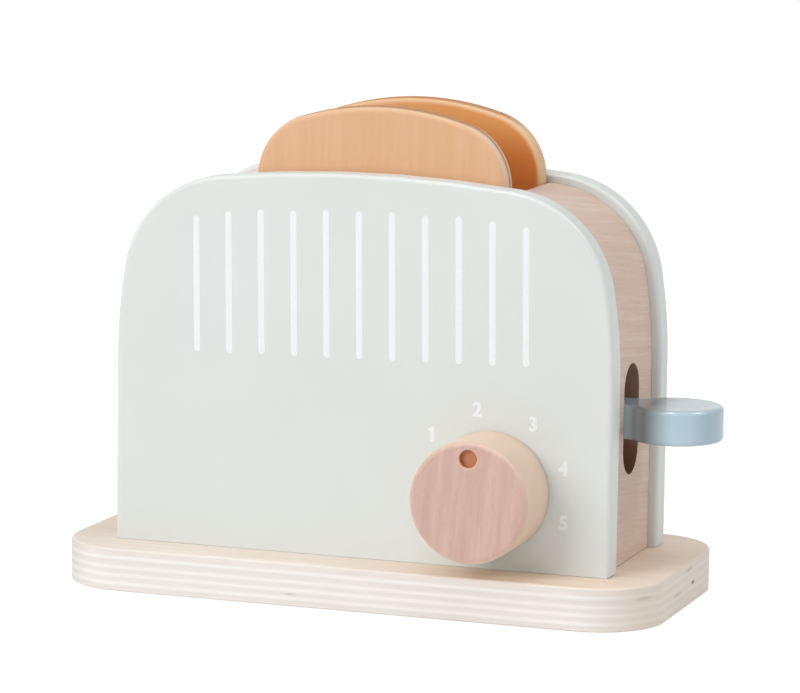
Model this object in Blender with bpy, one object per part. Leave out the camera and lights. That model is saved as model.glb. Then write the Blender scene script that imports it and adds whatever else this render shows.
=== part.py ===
"""Wooden toy toaster: a plywood base, two painted panels, two beech cheeks and a see-saw lever.

Metres, +Z up. The origin is the centre of the underside of the base. The front panel faces -Y
and the lever's paddle stands out towards +X.
"""
import math

import bmesh
import bpy
from mathutils import Matrix, Vector

for leftover in list(bpy.data.objects):
    bpy.data.objects.remove(leftover, do_unlink=True)

mm = 0.001

# Fits
seat_gap = 0.3 * mm
weld_distance = 0.002 * mm
running_gap = 0.3 * mm
guide_gap = 0.6 * mm
cut_overrun = 2.0 * mm

# Base board
base_length = 265.0 * mm
base_width = 126.4 * mm
base_thickness = 18.6 * mm
base_corner_radius = 30.0 * mm
base_edge_radius = 1.2 * mm

# Front and back panels
base_end_margin = 21.7 * mm
panel_width = base_length - 2 * base_end_margin
panel_height = 162.5 * mm
panel_thickness = 12.0 * mm
panel_corner_radius = 48.0 * mm
panel_crown_radius = 568.0 * mm
panel_side_radius = 223.0 * mm
panel_side_angle = math.radians(10.0)
panel_edge_radius = 2.0 * mm

# Body between the panels
base_side_margin = 21.2 * mm
body_depth = base_width - 2 * base_side_margin
cheek_inset = 4.1 * mm
cheek_thickness = 46.7 * mm
bread_shaft_length = panel_width - 2 * (cheek_inset + cheek_thickness)
divider_height = 48.0 * mm
divider_top_drop = 16.0 * mm

# Bread slices
slice_length_play = 8.4 * mm
slice_width = bread_shaft_length - slice_length_play
slice_thickness = 10.0 * mm
slice_rise = 27.5 * mm
slice_corner_radius = 28.0 * mm
slice_crown_radius = 120.0 * mm
slice_foot_radius = 8.0 * mm
slice_edge_radius = 2.2 * mm
slice_wall_gap = 1.0 * mm
slice_divider_gap = 5.0 * mm
slice_end_gap = 1.0 * mm

# Lever and its slot
lever_thickness = 15.0 * mm
lever_height = 60.4 * mm
lever_stem_width = 20.0 * mm
lever_stem_length = 20.1 * mm
paddle_radius = 19.6 * mm
paddle_fillet_radius = 5.0 * mm
lever_edge_radius = 2.0 * mm
lever_reach = 84.0 * mm
slot_side_gap = 1.0 * mm
slot_width = lever_stem_width + 2 * slot_side_gap
slot_height = 47.5 * mm
pivot_pin_radius = 3.0 * mm
pin_chamfer = 0.6 * mm
nose_flat_height = 0.4 * mm
rest_block_length = 26.0 * mm
rest_block_width = 34.0 * mm

# Lifter tray under the slices
lifter_thickness = 11.0 * mm
lifter_groove_depth = 3.0 * mm
lifter_groove_gap = 0.5 * mm
lifter_edge_radius = 1.0 * mm

# Dial knob
knob_radius = 25.6 * mm
knob_depth = 30.6 * mm
knob_front_radius = 2.5 * mm
knob_back_radius = 1.0 * mm
knob_edge_distance = 52.1 * mm
knob_offset = panel_width / 2 - knob_edge_distance
knob_height = 32.9 * mm
pointer_radius = 3.7 * mm
pointer_depth = 2.5 * mm
pointer_offset = 18.5 * mm
spindle_radius = 5.0 * mm
spindle_grip = 20.0 * mm
collar_radius = 9.0 * mm
collar_thickness = 5.0 * mm
collar_recess_gap = 1.2 * mm
knob_screw_length = 16.0 * mm
knob_screw_head_radius = 7.0 * mm

# Hidden dowels
dowel_radius = 4.0 * mm
dowel_chamfer = 0.6 * mm
dowel_panel_depth = 7.0 * mm
dowel_cheek_depth = 17.0 * mm
dowel_low_height = 30.0 * mm
dowel_high_height = 118.0 * mm
divider_dowel_depth = 15.0 * mm
divider_dowel_spacing = 26.0 * mm

# Screws
screw_shank_radius = 2.0 * mm
screw_head_radius = 4.2 * mm
screw_head_height = 2.6 * mm
screw_length = 38.0 * mm
screw_point_length = 5.0 * mm
cheek_screw_spacing = 32.0 * mm
rest_screw_spacing = 20.0 * mm
screw_sink = 0.5 * mm

# Smoothness of round shapes
corner_steps = 9
crown_steps = 8
side_steps = 3
small_round_steps = 16
knob_steps = 48
edge_steps = 3
smooth_angle = math.radians(35.0)
edge_angle = math.radians(50.0)

# Places worked out from the sizes above
body_floor = base_thickness + seat_gap
panel_top = body_floor + panel_height
panel_front_face = body_depth / 2
panel_inner_face = body_depth / 2 - panel_thickness
cheek_face = panel_inner_face - seat_gap
shaft_half_length = bread_shaft_length / 2
cheek_outer_face = panel_width / 2 - cheek_inset
cheek_middle = (shaft_half_length + cheek_outer_face) / 2
lever_level = body_floor + lever_height
pivot_x = cheek_middle
nose_x = pivot_x - lever_reach
paddle_x = cheek_outer_face + lever_stem_length
lifter_bottom = lever_level + lever_thickness / 2 + seat_gap
lifter_top = lifter_bottom + lifter_thickness
slice_bottom = lifter_top - lifter_groove_depth + seat_gap
slice_top = panel_top + slice_rise
slice_y = panel_inner_face - slice_wall_gap - slice_thickness / 2
divider_half_thickness = slice_y - slice_thickness / 2 - slice_divider_gap
slice_x = shaft_half_length - slice_end_gap - slice_width / 2
divider_top = panel_top - divider_top_drop
divider_bottom = divider_top - divider_height
knob_z = body_floor + knob_height


def wood_like(name, colour, roughness, metallic=0.0):
    """A plain surface with the colour, roughness and metallic value of one piece."""
    material = bpy.data.materials.new(name)
    material.use_nodes = True
    shader = material.node_tree.nodes["Principled BSDF"]
    shader.inputs["Base Color"].default_value = (*colour, 1.0)
    shader.inputs["Roughness"].default_value = roughness
    shader.inputs["Metallic"].default_value = metallic
    material.diffuse_color = (*colour, 1.0)
    return material


plywood = wood_like("birch_plywood", (0.79, 0.69, 0.58), 0.55)
panel_paint = wood_like("pale_grey_paint", (0.76, 0.80, 0.77), 0.45)
beech = wood_like("beech", (0.58, 0.45, 0.37), 0.55)
knob_beech = wood_like("knob_beech", (0.68, 0.49, 0.42), 0.5)
bread_paint = wood_like("toast_stain", (0.76, 0.48, 0.28), 0.5)
lever_paint = wood_like("pale_blue_paint", (0.45, 0.58, 0.68), 0.4)
steel = wood_like("zinc_plated_steel", (0.62, 0.62, 0.60), 0.35, 1.0)


def add_object(name, bm, material, parent=None, location=(0, 0, 0)):
    """Turn a bmesh, drawn about the object's own origin, into a named object."""
    bmesh.ops.recalc_face_normals(bm, faces=bm.faces[:])
    mesh = bpy.data.meshes.new(name)
    bm.to_mesh(mesh)
    bm.free()
    mesh.shade_smooth()
    mesh.set_sharp_from_angle(angle=smooth_angle)
    body = bpy.data.objects.new(name, mesh)
    bpy.context.scene.collection.objects.link(body)
    body.location = location
    body.parent = parent
    if material:
        mesh.materials.append(material)
    return body


def add_pivot(name, location, parent=None):
    """An empty on a joint's axis, which carries the pieces that move with it."""
    pivot = bpy.data.objects.new(name, None)
    pivot.location = location
    pivot.parent = parent
    bpy.context.scene.collection.objects.link(pivot)
    return pivot


def as_cutter(tool):
    """Keep a cutting tool out of the model and show it as wire."""
    tool.hide_render = True
    tool.display_type = "WIRE"
    return tool


def round_edges(body, radius):
    """Soften the sharp edges of a board, as sandpaper or a round-over bit does."""
    bevel = body.modifiers.new("round_edges", "BEVEL")
    bevel.width = radius
    bevel.segments = edge_steps
    bevel.limit_method = "ANGLE"
    bevel.angle_limit = edge_angle


def cut(body, tool):
    """Take the tool's shape out of the body."""
    boolean = body.modifiers.new(tool.name, "BOOLEAN")
    boolean.operation = "DIFFERENCE"
    boolean.solver = "EXACT"
    boolean.object = tool


def arc(centre_x, centre_z, radius, start, end, steps):
    """Points along an arc, both ends included, angles counted from +X towards +Z."""
    points = []
    for index in range(steps + 1):
        angle = start + (end - start) * index / steps
        points.append((centre_x + radius * math.cos(angle), centre_z + radius * math.sin(angle)))
    return points


def arch_right_side(half_width, bottom, top, corner, crown, side, side_angle, inner_x=0.0):
    """Right half of an arched board: straight side, gentle side arc, corner arc and crown arc.

    The arcs are tangent to each other, and the crown's centre lies on x = 0.
    """
    corner_x = half_width - side + (side - corner) * math.cos(side_angle)
    crown_z = top - crown
    corner_z = crown_z + math.sqrt((crown - corner) ** 2 - corner_x ** 2)
    side_z = corner_z - (side - corner) * math.sin(side_angle)
    meeting = math.atan2(corner_z - crown_z, corner_x)
    last = math.acos(inner_x / crown)
    points = [(half_width, bottom)]
    if side_angle > 0.0:
        points += arc(half_width - side, side_z, side, 0.0, side_angle, side_steps)[:-1]
    points += arc(corner_x, corner_z, corner, side_angle, meeting, corner_steps)[:-1]
    points += arc(0.0, crown_z, crown, meeting, last, crown_steps)
    return points


def mirrored(right_side):
    """Close a right half, drawn bottom to top, with its mirror image in x = 0."""
    left_side = [(-x, z) for x, z in reversed(right_side) if x > seat_gap]
    return right_side + left_side


def face_from(bm, points, place):
    """One flat face through the points, each put in space by the place function."""
    return bm.faces.new([bm.verts.new(place(u, v)) for u, v in points])


def extrude_face(bm, face, step):
    """Extrude a face into a closed solid."""
    result = bmesh.ops.extrude_face_region(bm, geom=[face])
    moved = [item for item in result["geom"] if isinstance(item, bmesh.types.BMVert)]
    bmesh.ops.translate(bm, verts=moved, vec=step)


def upright_board(name, outline, front, back, material, parent=None, location=(0, 0, 0)):
    """A board standing across the depth, its outline in X and Z, from y = front to y = back."""
    bm = bmesh.new()
    face = face_from(bm, outline, lambda x, z: (x, front, z))
    extrude_face(bm, face, Vector((0, back - front, 0)))
    return add_object(name, bm, material, parent, location)


def flat_board(name, outline, bottom, top, material, parent=None, location=(0, 0, 0)):
    """A board lying flat, its outline in X and Y."""
    bm = bmesh.new()
    face = face_from(bm, outline, lambda x, y: (x, y, bottom))
    extrude_face(bm, face, Vector((0, 0, top - bottom)))
    return add_object(name, bm, material, parent, location)


def block(name, low, high, material, parent=None, location=(0, 0, 0)):
    """A rectangular block between two corners."""
    bm = bmesh.new()
    bmesh.ops.create_cube(bm, size=1.0)
    size = Vector(high) - Vector(low)
    middle = (Vector(high) + Vector(low)) / 2
    bmesh.ops.scale(bm, vec=size, verts=bm.verts[:])
    bmesh.ops.translate(bm, vec=middle, verts=bm.verts[:])
    return add_object(name, bm, material, parent, location)


axis_turns = {
    "X": Matrix.Rotation(math.radians(90.0), 3, "Y"),
    "Y": Matrix.Rotation(math.radians(-90.0), 3, "X"),
    "Z": Matrix.Identity(3),
}


def turn_profile(bm, profile, axis, place, steps):
    """Spin a profile of (radius, distance along the axis) points into a closed turned solid."""
    turn = axis_turns[axis]
    verts = [bm.verts.new(turn @ Vector((radius, 0, along)) + Vector(place)) for radius, along in profile]
    edges = [bm.edges.new(pair) for pair in zip(verts, verts[1:])]
    bmesh.ops.spin(
        bm,
        geom=verts + edges,
        cent=place,
        axis=turn @ Vector((0, 0, 1)),
        angle=math.tau,
        steps=steps,
        use_merge=True,
        use_duplicate=False,
    )
    bmesh.ops.remove_doubles(bm, verts=bm.verts[:], dist=weld_distance)


def rod_profile(radius, start, end, chamfer=0.0):
    """A plain rod along its axis, with its ends chamfered where wanted."""
    if chamfer == 0.0:
        return [(0.0, start), (radius, start), (radius, end), (0.0, end)]
    return [
        (0.0, start),
        (radius - chamfer, start),
        (radius, start + chamfer),
        (radius, end - chamfer),
        (radius - chamfer, end),
        (0.0, end),
    ]


def turned(name, profiles_and_places, axis, material, steps, parent=None, location=(0, 0, 0)):
    """One object of turned shapes, each with its own profile and place."""
    bm = bmesh.new()
    for profile, place in profiles_and_places:
        turn_profile(bm, profile, axis, place, steps)
    return add_object(name, bm, material, parent, location)


def turned_set(name, profile, axis, places, material, steps):
    """Copies of one turned piece, numbered from 1, that share their mesh."""
    first = turned(name + "_1", [(profile, (0, 0, 0))], axis, material, steps, None, places[0])
    for number, place in enumerate(places[1:], start=2):
        copy = bpy.data.objects.new(name + "_" + str(number), first.data)
        copy.location = place
        bpy.context.scene.collection.objects.link(copy)


def rod_cutter(name, radius, start, end, axis, places):
    """Straight round holes of one radius at several places."""
    jobs = [(rod_profile(radius, start, end), place) for place in places]
    return as_cutter(turned(name, jobs, axis, None, small_round_steps))


def build_base():
    """The plywood board that carries everything, with countersunk holes from below."""
    outline = []
    for sign_x, sign_y, start in ((1, -1, -90.0), (1, 1, 0.0), (-1, 1, 90.0), (-1, -1, 180.0)):
        centre_x = sign_x * (base_length / 2 - base_corner_radius)
        centre_y = sign_y * (base_width / 2 - base_corner_radius)
        first = math.radians(start)
        outline += arc(centre_x, centre_y, base_corner_radius, first, first + math.pi / 2, corner_steps)
    board = flat_board("base_board", outline, 0.0, base_thickness, plywood)
    round_edges(board, base_edge_radius)
    cut(board, as_cutter(turned("base_screw_holes", screw_hole_jobs(), "Z", None, small_round_steps)))
    return board


def screw_pair(x, spacing):
    """Two screw places on the underside, side by side across the depth."""
    return [(x, -spacing / 2, 0.0), (x, spacing / 2, 0.0)]


def screw_places():
    """Two screws under each cheek and two under the rest block."""
    places = screw_pair(-cheek_middle, cheek_screw_spacing)
    places += screw_pair(nose_x, rest_screw_spacing)
    places += screw_pair(cheek_middle, cheek_screw_spacing)
    return places


def screw_hole_jobs():
    """A clearance hole with a countersink for each screw, open at both faces of the base."""
    hole = screw_shank_radius + seat_gap
    mouth = screw_head_radius + seat_gap
    profile = [
        (0.0, -cut_overrun),
        (mouth, -cut_overrun),
        (mouth, screw_sink),
        (hole, screw_sink + screw_head_height),
        (hole, base_thickness + cut_overrun),
        (0.0, base_thickness + cut_overrun),
    ]
    return [(profile, place) for place in screw_places()]


def build_base_screws():
    """Countersunk wood screws, driven from below; their threads are left plain."""
    profile = [
        (0.0, screw_sink),
        (screw_head_radius, screw_sink),
        (screw_shank_radius, screw_sink + screw_head_height),
        (screw_shank_radius, screw_sink + screw_length - screw_point_length),
        (0.0, screw_sink + screw_length),
    ]
    turned_set("base_screw", profile, "Z", screw_places(), steel, small_round_steps)


def screw_pilot_cutter(name, places):
    """Pilot holes for the screws, from under the body up past the screws' points."""
    end = screw_sink + screw_length + seat_gap
    return rod_cutter(name, screw_shank_radius + seat_gap, body_floor - cut_overrun, end, "Z", places)


def panel_outline():
    """The arched outline that both panels share."""
    right_side = arch_right_side(
        panel_width / 2,
        body_floor,
        panel_top,
        panel_corner_radius,
        panel_crown_radius,
        panel_side_radius,
        panel_side_angle,
    )
    return mirrored(right_side)


def panel_dowel_places():
    """Where the dowels join a panel to the cheeks, as x and z."""
    places = []
    for x in (-cheek_middle, cheek_middle):
        for height in (dowel_low_height, dowel_high_height):
            places.append((x, 0.0, body_floor + height))
    return places


def build_panels():
    """The two painted panels, and the dowels that hold them to the cheeks."""
    hole = dowel_radius + seat_gap
    for name, side in (("front", -1), ("back", 1)):
        outer = side * panel_front_face
        inner = side * panel_inner_face
        panel = upright_board(name + "_panel", panel_outline(), outer, inner, panel_paint)
        round_edges(panel, panel_edge_radius)
        ends = sorted((inner + side * (dowel_panel_depth + seat_gap), inner - side * cut_overrun))
        cut(panel, rod_cutter(name + "_panel_holes", hole, ends[0], ends[1], "Y", panel_dowel_places()))
        if side < 0:
            bore = spindle_radius + running_gap
            start = outer - cut_overrun
            end = inner + cut_overrun
            cut(panel, rod_cutter("spindle_bore", bore, start, end, "Y", [(knob_offset, 0.0, knob_z)]))
        dowel_out = inner + side * dowel_panel_depth
        dowel_in = side * (cheek_face - dowel_cheek_depth)
        low, high = sorted((dowel_out, dowel_in))
        profile = rod_profile(dowel_radius, low, high, dowel_chamfer)
        turned_set(name + "_panel_dowel", profile, "Y", panel_dowel_places(), beech, small_round_steps)


def cheek_outline(side):
    """A cheek follows the panels, a little inside their edge, and ends at the bread shaft."""
    right_side = arch_right_side(
        cheek_outer_face,
        body_floor,
        panel_top - cheek_inset,
        panel_corner_radius - cheek_inset,
        panel_crown_radius - cheek_inset,
        panel_side_radius - cheek_inset,
        panel_side_angle,
        shaft_half_length,
    )
    points = [(shaft_half_length, body_floor)] + right_side
    return [(side * x, z) for x, z in points]


def divider_dowel_places(side):
    """Two dowels in a row, one above the other, at one end of the divider."""
    middle = (divider_bottom + divider_top) / 2
    half = divider_dowel_spacing / 2
    return [(side * shaft_half_length, 0.0, middle - half), (side * shaft_half_length, 0.0, middle + half)]


def build_cheek(name, side):
    """A solid beech cheek with the holes for its dowels and screws."""
    cheek = upright_board(name, cheek_outline(side), -cheek_face, cheek_face, beech)
    hole = dowel_radius + seat_gap
    deep = cheek_face - dowel_cheek_depth - seat_gap
    outside = cheek_face + cut_overrun
    places = [place for place in panel_dowel_places() if place[0] * side > 0.0]
    cut(cheek, rod_cutter(name + "_front_dowel_holes", hole, -outside, -deep, "Y", places))
    cut(cheek, rod_cutter(name + "_back_dowel_holes", hole, deep, outside, "Y", places))
    reach = divider_dowel_depth + seat_gap
    ends = sorted((side * reach, -side * cut_overrun))
    cut(cheek, rod_cutter(name + "_divider_dowel_holes", hole, ends[0], ends[1], "X", divider_dowel_places(side)))
    pilots = screw_pair(side * cheek_middle, cheek_screw_spacing)
    cut(cheek, screw_pilot_cutter(name + "_screw_holes", pilots))
    return cheek


def slot_outline():
    """The upright round-ended slot, as y and z."""
    radius = slot_width / 2
    half = slot_height / 2 - radius
    points = arc(0.0, lever_level + half, radius, 0.0, math.pi, corner_steps + 1)
    points += arc(0.0, lever_level - half, radius, math.pi, math.tau, corner_steps + 1)
    return points


def build_lever_slot(cheek):
    """Cut the lever's slot, the pivot pin's bore and the collar's recess into the right cheek."""
    bm = bmesh.new()
    start = shaft_half_length - cut_overrun
    face = face_from(bm, slot_outline(), lambda y, z: (start, y, z))
    extrude_face(bm, face, Vector((cheek_outer_face + cut_overrun - start, 0, 0)))
    cut(cheek, as_cutter(add_object("lever_slot", bm, None)))
    outside = cheek_face + cut_overrun
    bore = pivot_pin_radius + running_gap
    cut(cheek, rod_cutter("pivot_bore", bore, -outside, outside, "Y", [(pivot_x, 0.0, lever_level)]))
    recess_end = -panel_inner_face + collar_thickness + screw_head_height + collar_recess_gap
    recess = collar_radius + collar_recess_gap
    cut(cheek, rod_cutter("collar_recess", recess, -outside, recess_end, "Y", [(knob_offset, 0.0, knob_z)]))


def build_divider():
    """The block that parts the two bread slots, held by dowels at its ends."""
    half_length = shaft_half_length - seat_gap
    low = (-half_length, -divider_half_thickness, divider_bottom)
    high = (half_length, divider_half_thickness, divider_top)
    divider = block("slot_divider", low, high, beech)
    hole = dowel_radius + seat_gap
    profile = rod_profile(dowel_radius, -divider_dowel_depth, divider_dowel_depth, dowel_chamfer)
    for name, side in (("left", -1), ("right", 1)):
        places = divider_dowel_places(side)
        ends = sorted((-side * (divider_dowel_depth + seat_gap), side * cut_overrun))
        cut(divider, rod_cutter("divider_" + name + "_holes", hole, ends[0], ends[1], "X", places))
        turned_set(name + "_divider_dowel", profile, "X", places, beech, small_round_steps)


def build_rest_block():
    """The block on the base that the lever's inner end lies on."""
    top = lever_level - lever_thickness / 2 - seat_gap
    low = (nose_x - rest_block_length / 2, -rest_block_width / 2, body_floor)
    high = (nose_x + rest_block_length / 2, rest_block_width / 2, top)
    rest = block("lever_rest_block", low, high, beech)
    cut(rest, screw_pilot_cutter("rest_block_screw_holes", screw_pair(nose_x, rest_screw_spacing)))


def lever_outline():
    """The lever from above, about its pivot: round paddle, concave fillets, straight stem."""
    centre = paddle_x - pivot_x
    half = lever_stem_width / 2
    fillet_y = half + paddle_fillet_radius
    reach = paddle_radius + paddle_fillet_radius
    fillet_x = centre - math.sqrt(reach ** 2 - fillet_y ** 2)
    lean = math.atan2(fillet_y, centre - fillet_x)
    nose_end = -lever_reach - lever_thickness / 2
    upper = arc(centre, 0.0, paddle_radius, 0.0, math.pi - lean, corner_steps * 2)
    upper += arc(fillet_x, fillet_y, paddle_fillet_radius, -lean, -math.pi / 2, corner_steps)[1:]
    upper.append((nose_end, half))
    lower = [(x, -y) for x, y in reversed(upper[1:])]
    return upper + lower


def build_lever(pivot):
    """The see-saw lever: a board with a round paddle outside and a round nose under the lifter."""
    half = lever_thickness / 2
    bm = bmesh.new()
    face = face_from(bm, lever_outline(), lambda x, y: (x, y, -half))
    extrude_face(bm, face, Vector((0, 0, lever_thickness)))
    nose_edges = [
        edge for edge in bm.edges
        if all(vert.co.x < -lever_reach for vert in edge.verts)
        and abs(edge.verts[0].co.z - edge.verts[1].co.z) < seat_gap
    ]
    bmesh.ops.bevel(
        bm, geom=nose_edges, offset=half - nose_flat_height / 2, offset_type="OFFSET",
        segments=corner_steps, profile=0.5, affect="EDGES", material=-1,
    )
    lever = add_object("lift_lever", bm, lever_paint, pivot)
    round_edges(lever, lever_edge_radius)
    bore = pivot_pin_radius + running_gap
    reach = lever_stem_width / 2 + cut_overrun
    pivot_place = (pivot_x, 0.0, lever_level)
    cut(lever, rod_cutter("lever_bore", bore, -reach, reach, "Y", [pivot_place]))
    pin = rod_profile(pivot_pin_radius, -cheek_face, cheek_face, pin_chamfer)
    turned("lever_pivot_pin", [(pin, pivot_place)], "Y", steel, small_round_steps)


def build_lifter(lifter_guide):
    """The tray that rides on the lever's nose, with a groove that each slice stands in."""
    half_length = shaft_half_length - guide_gap
    half_width = panel_inner_face - guide_gap
    low = (-half_length, -half_width, 0.0)
    high = (half_length, half_width, lifter_thickness)
    tray = block("bread_lifter", low, high, beech, lifter_guide)
    round_edges(tray, lifter_edge_radius)
    groove_bottom = lifter_top - lifter_groove_depth
    groove_top = lifter_top + cut_overrun
    half_groove = slice_thickness / 2 + lifter_groove_gap
    for name, y in (("front", -slice_y), ("rear", slice_y)):
        low = (-shaft_half_length, y - half_groove, groove_bottom)
        high = (shaft_half_length, y + half_groove, groove_top)
        cut(tray, as_cutter(block(name + "_groove", low, high, None)))


def build_slice(name, carrier):
    """A slice of toast: domed top, straight sides and small round feet."""
    half_width = slice_width / 2
    height = slice_top - slice_bottom
    right_side = arch_right_side(
        half_width, 0.0, height, slice_corner_radius, slice_crown_radius, slice_corner_radius, 0.0
    )[1:]
    foot = arc(
        half_width - slice_foot_radius, slice_foot_radius, slice_foot_radius,
        -math.pi / 2, 0.0, corner_steps // 2,
    )
    half = slice_thickness / 2
    bread = upright_board(name, mirrored(foot + right_side), -half, half, bread_paint, carrier)
    round_edges(bread, slice_edge_radius)


def build_knob(axis_empty):
    """The dial knob on its spindle, kept in the front panel by a collar and a screw."""
    front = -knob_depth
    back = 0.0
    front_round = (knob_radius - knob_front_radius, front + knob_front_radius, knob_front_radius)
    back_round = (knob_radius - knob_back_radius, back - knob_back_radius, knob_back_radius)
    profile = [(0.0, front)]
    profile += arc(*front_round, -math.pi / 2, 0.0, edge_steps + 1)
    profile += arc(*back_round, 0.0, math.pi / 2, edge_steps)
    profile.append((0.0, back))
    knob = turned("dial_knob", [(profile, (0, 0, 0))], "Y", knob_beech, knob_steps, axis_empty)
    face = -panel_front_face - running_gap
    dot = (knob_offset, face, knob_z + pointer_offset)
    cut(knob, rod_cutter("pointer_hole", pointer_radius, front - cut_overrun, front + pointer_depth, "Y", [dot]))
    socket = (knob_offset, face, knob_z)
    depth = spindle_grip + seat_gap
    cut(knob, rod_cutter("spindle_socket", spindle_radius + seat_gap, -depth, cut_overrun, "Y", [socket]))
    end = panel_front_face - panel_inner_face + running_gap * 2 + collar_thickness
    spindle = rod_profile(spindle_radius, -spindle_grip, end, dowel_chamfer)
    rod = turned("knob_spindle", [(spindle, (0, 0, 0))], "Y", beech, small_round_steps, axis_empty)
    pilot = screw_shank_radius + seat_gap
    screw_reach = end - knob_screw_length
    hole = rod_cutter("knob_screw_hole", pilot, screw_reach - seat_gap, end + cut_overrun, "Y", [socket])
    cut(rod, hole)
    collar_start = end - collar_thickness
    inner = spindle_radius + seat_gap
    ring = [(inner, collar_start), (collar_radius, collar_start), (collar_radius, end), (inner, end)]
    bm = bmesh.new()
    turn_profile(bm, ring + ring[:1], "Y", (0, 0, 0), small_round_steps)
    add_object("knob_collar", bm, beech, axis_empty)
    head = end + seat_gap
    screw = [
        (0.0, screw_reach),
        (screw_shank_radius, screw_reach + screw_point_length),
        (screw_shank_radius, head),
        (knob_screw_head_radius, head),
        (knob_screw_head_radius, head + screw_head_height / 2),
        (0.0, head + screw_head_height),
    ]
    turned("knob_screw", [(screw, (0, 0, 0))], "Y", steel, small_round_steps, axis_empty)


lever_pivot = add_pivot("lever_pivot", (pivot_x, 0.0, lever_level))
lifter_guide = add_pivot("lifter_guide", (0.0, 0.0, lifter_bottom))
slice_lift = slice_bottom - lifter_bottom
front_slice_guide = add_pivot("front_slice_guide", (slice_x, -slice_y, slice_lift), lifter_guide)
rear_slice_guide = add_pivot("rear_slice_guide", (slice_x, slice_y, slice_lift), lifter_guide)
dial_axis = add_pivot("dial_axis", (knob_offset, -panel_front_face - running_gap, knob_z))

build_base()
build_base_screws()
build_panels()
build_cheek("left_cheek", -1)
build_lever_slot(build_cheek("right_cheek", 1))
build_divider()
build_rest_block()
build_lever(lever_pivot)
build_lifter(lifter_guide)
build_slice("bread_slice_front", front_slice_guide)
build_slice("bread_slice_rear", rear_slice_guide)
build_knob(dial_axis)
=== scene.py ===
import math

import bmesh
import bpy
from mathutils import Matrix, Vector


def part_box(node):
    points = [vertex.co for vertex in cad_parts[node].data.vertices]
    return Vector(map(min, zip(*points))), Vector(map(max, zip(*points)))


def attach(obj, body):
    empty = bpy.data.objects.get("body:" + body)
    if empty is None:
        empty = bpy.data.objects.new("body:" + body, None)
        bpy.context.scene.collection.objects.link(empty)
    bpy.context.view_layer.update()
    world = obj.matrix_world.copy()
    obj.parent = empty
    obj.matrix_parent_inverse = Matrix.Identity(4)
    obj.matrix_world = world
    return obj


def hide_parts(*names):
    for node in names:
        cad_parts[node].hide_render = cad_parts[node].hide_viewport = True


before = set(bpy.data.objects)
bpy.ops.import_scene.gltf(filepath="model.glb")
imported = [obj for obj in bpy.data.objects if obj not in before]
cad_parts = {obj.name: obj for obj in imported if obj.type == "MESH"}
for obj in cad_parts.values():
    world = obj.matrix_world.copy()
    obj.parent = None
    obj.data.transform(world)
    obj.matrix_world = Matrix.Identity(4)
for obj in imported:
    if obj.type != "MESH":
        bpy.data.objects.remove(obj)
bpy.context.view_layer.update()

mm = 0.001

# Where the CAD pieces stand, taken from the frame
panel_low, panel_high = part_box("front_panel")
back_low, back_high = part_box("back_panel")
knob_low, knob_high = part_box("dial_knob")
base_low, base_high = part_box("base_board")

# Shape of the arched panels
panel_corner_radius = 48.0 * mm
panel_crown_radius = 568.0 * mm
panel_side_radius = 223.0 * mm
panel_side_angle = math.radians(10.0)
panel_edge_radius = 2.0 * mm
panel_foot_radius = 0.8 * mm
panel_gap = 0.12 * mm
spindle_hole_radius = 5.6 * mm

# Shape of the toast slices
slice_corner_radius = 28.0 * mm
slice_crown_radius = 120.0 * mm
slice_foot_radius = 8.0 * mm
slice_edge_radius = 2.8 * mm

# Shape of the dial knob
knob_front_radius = 2.4 * mm
knob_back_radius = 1.0 * mm
pointer_radius = 3.7 * mm
pointer_depth = 2.5 * mm
pointer_chamfer = 0.5 * mm
pointer_offset = 18.5 * mm
knob_side_tone = (1.0 * mm, 3.0 * mm)
pointer_stain = (0.30 * mm, 0.45 * mm)
knob_x = (knob_low.x + knob_high.x) / 2
knob_z = (knob_low.z + knob_high.z) / 2
knob_radius = (knob_high.x - knob_low.x) / 2

# White print on the front panel. Tops of the stripes, outline of the figure 1 from its middle and
# middles of the numbers are in millimetres, and the print's turn is in radians
print_thickness = 0.10 * mm
print_bite = 0.05 * mm
stripe_width = 2.85 * mm
stripe_spacing = 14.657 * mm
first_stripe = (-73.40 * mm, 102.3 * mm)
print_turn = 0.0175
stripe_tops = [160.4, 162.9, 164.5, 164.7, 165.8, 166.0, 166.5, 165.8, 166.2, 165.0, 163.2]
number_height = 6.3 * mm
number_weight = 0.25 * mm
figure_one = [
    (0.8, -3.15), (0.8, 3.15), (-0.15, 3.15), (-1.8, 2.35), (-1.8, 1.35), (-0.8, 1.85), (-0.8, -3.15),
]
number_places = {
    "1": (32.6, 74.0),
    "2": (52.2, 85.9),
    "3": (76.6, 81.3),
    "4": (90.1, 63.6),
    "5": (90.6, 40.7),
}

# Plywood base: reaches of the veneer's warmer part, which is painted warm shade, and of its paler end,
# which is painted light; waver of the plies; and the edge's tones at their heights in millimetres, from
# the underside up
veneer_warm_shade = (-20.0 * mm, 100.0 * mm)
veneer_painted_light = (98.0 * mm, 126.0 * mm)
ply_waver = 0.4 * mm
ply_board_mm = 18.6
# The lowest ply is painted paler: painted light that lifts the contact shade next to the floor
ply_edges = [(0.0, "fffaf5"), (0.5, "fbf6f1"), (1.3, "e9e3dd")]
for glue_line, ply_below, ply_above in (
    (3.5, "e8e3dd", "ebe6e1"), (7.1, "eae5df", "eae5e0"),
    (10.6, "e9e4de", "eae5df"), (14.5, "e8e2dc", "ece4dd"),
):
    ply_edges += [(glue_line - 1.2, ply_below), (glue_line - 0.3, "f6f2ee")]
    ply_edges += [(glue_line + 0.3, "f6f2ee"), (glue_line + 1.2, ply_above)]

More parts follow.
